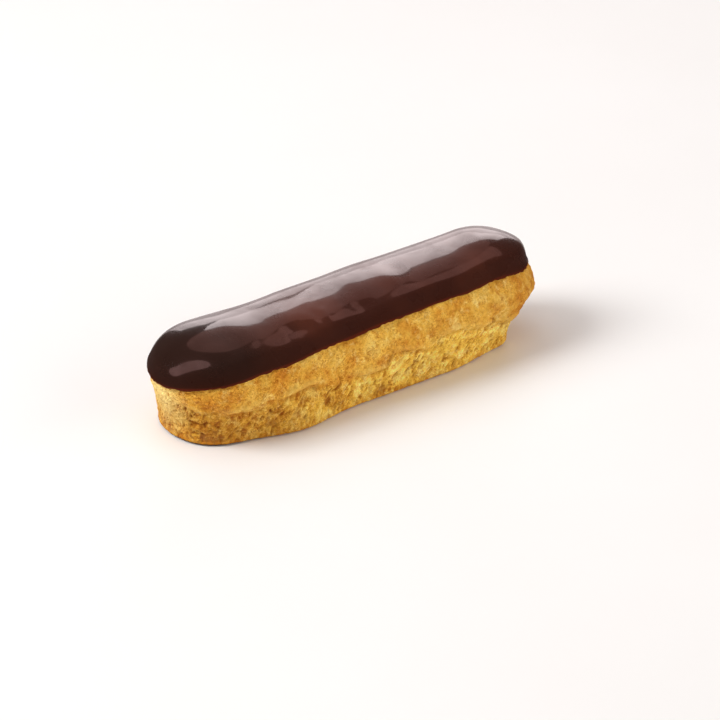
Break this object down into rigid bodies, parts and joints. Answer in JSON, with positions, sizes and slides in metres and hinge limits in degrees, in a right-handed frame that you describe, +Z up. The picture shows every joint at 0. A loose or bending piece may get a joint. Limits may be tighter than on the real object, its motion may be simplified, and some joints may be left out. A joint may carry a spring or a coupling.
{
  "type": "chocolate eclair",
  "caption": "Baked choux pastry finger with a thin set chocolate icing over its top, resting on a flat base.",
  "frame": {"origin": "on the flat base, under the middle of the bounding box", "axes": "+X along the length towards the narrow-footed tip, +Z up through the icing, -Y the side with the slightly waisted base"},
  "size_m": [0.1392, 0.0408, 0.0341],
  "materials": {
    "choux": "matt baked crust, golden with darker browned patches",
    "chocolate": "glossy set dark chocolate icing"
  },
  "bodies": {
    "root": {"choux_shell": "choux", "chocolate_icing": "chocolate"}
  },
  "joints": []
}
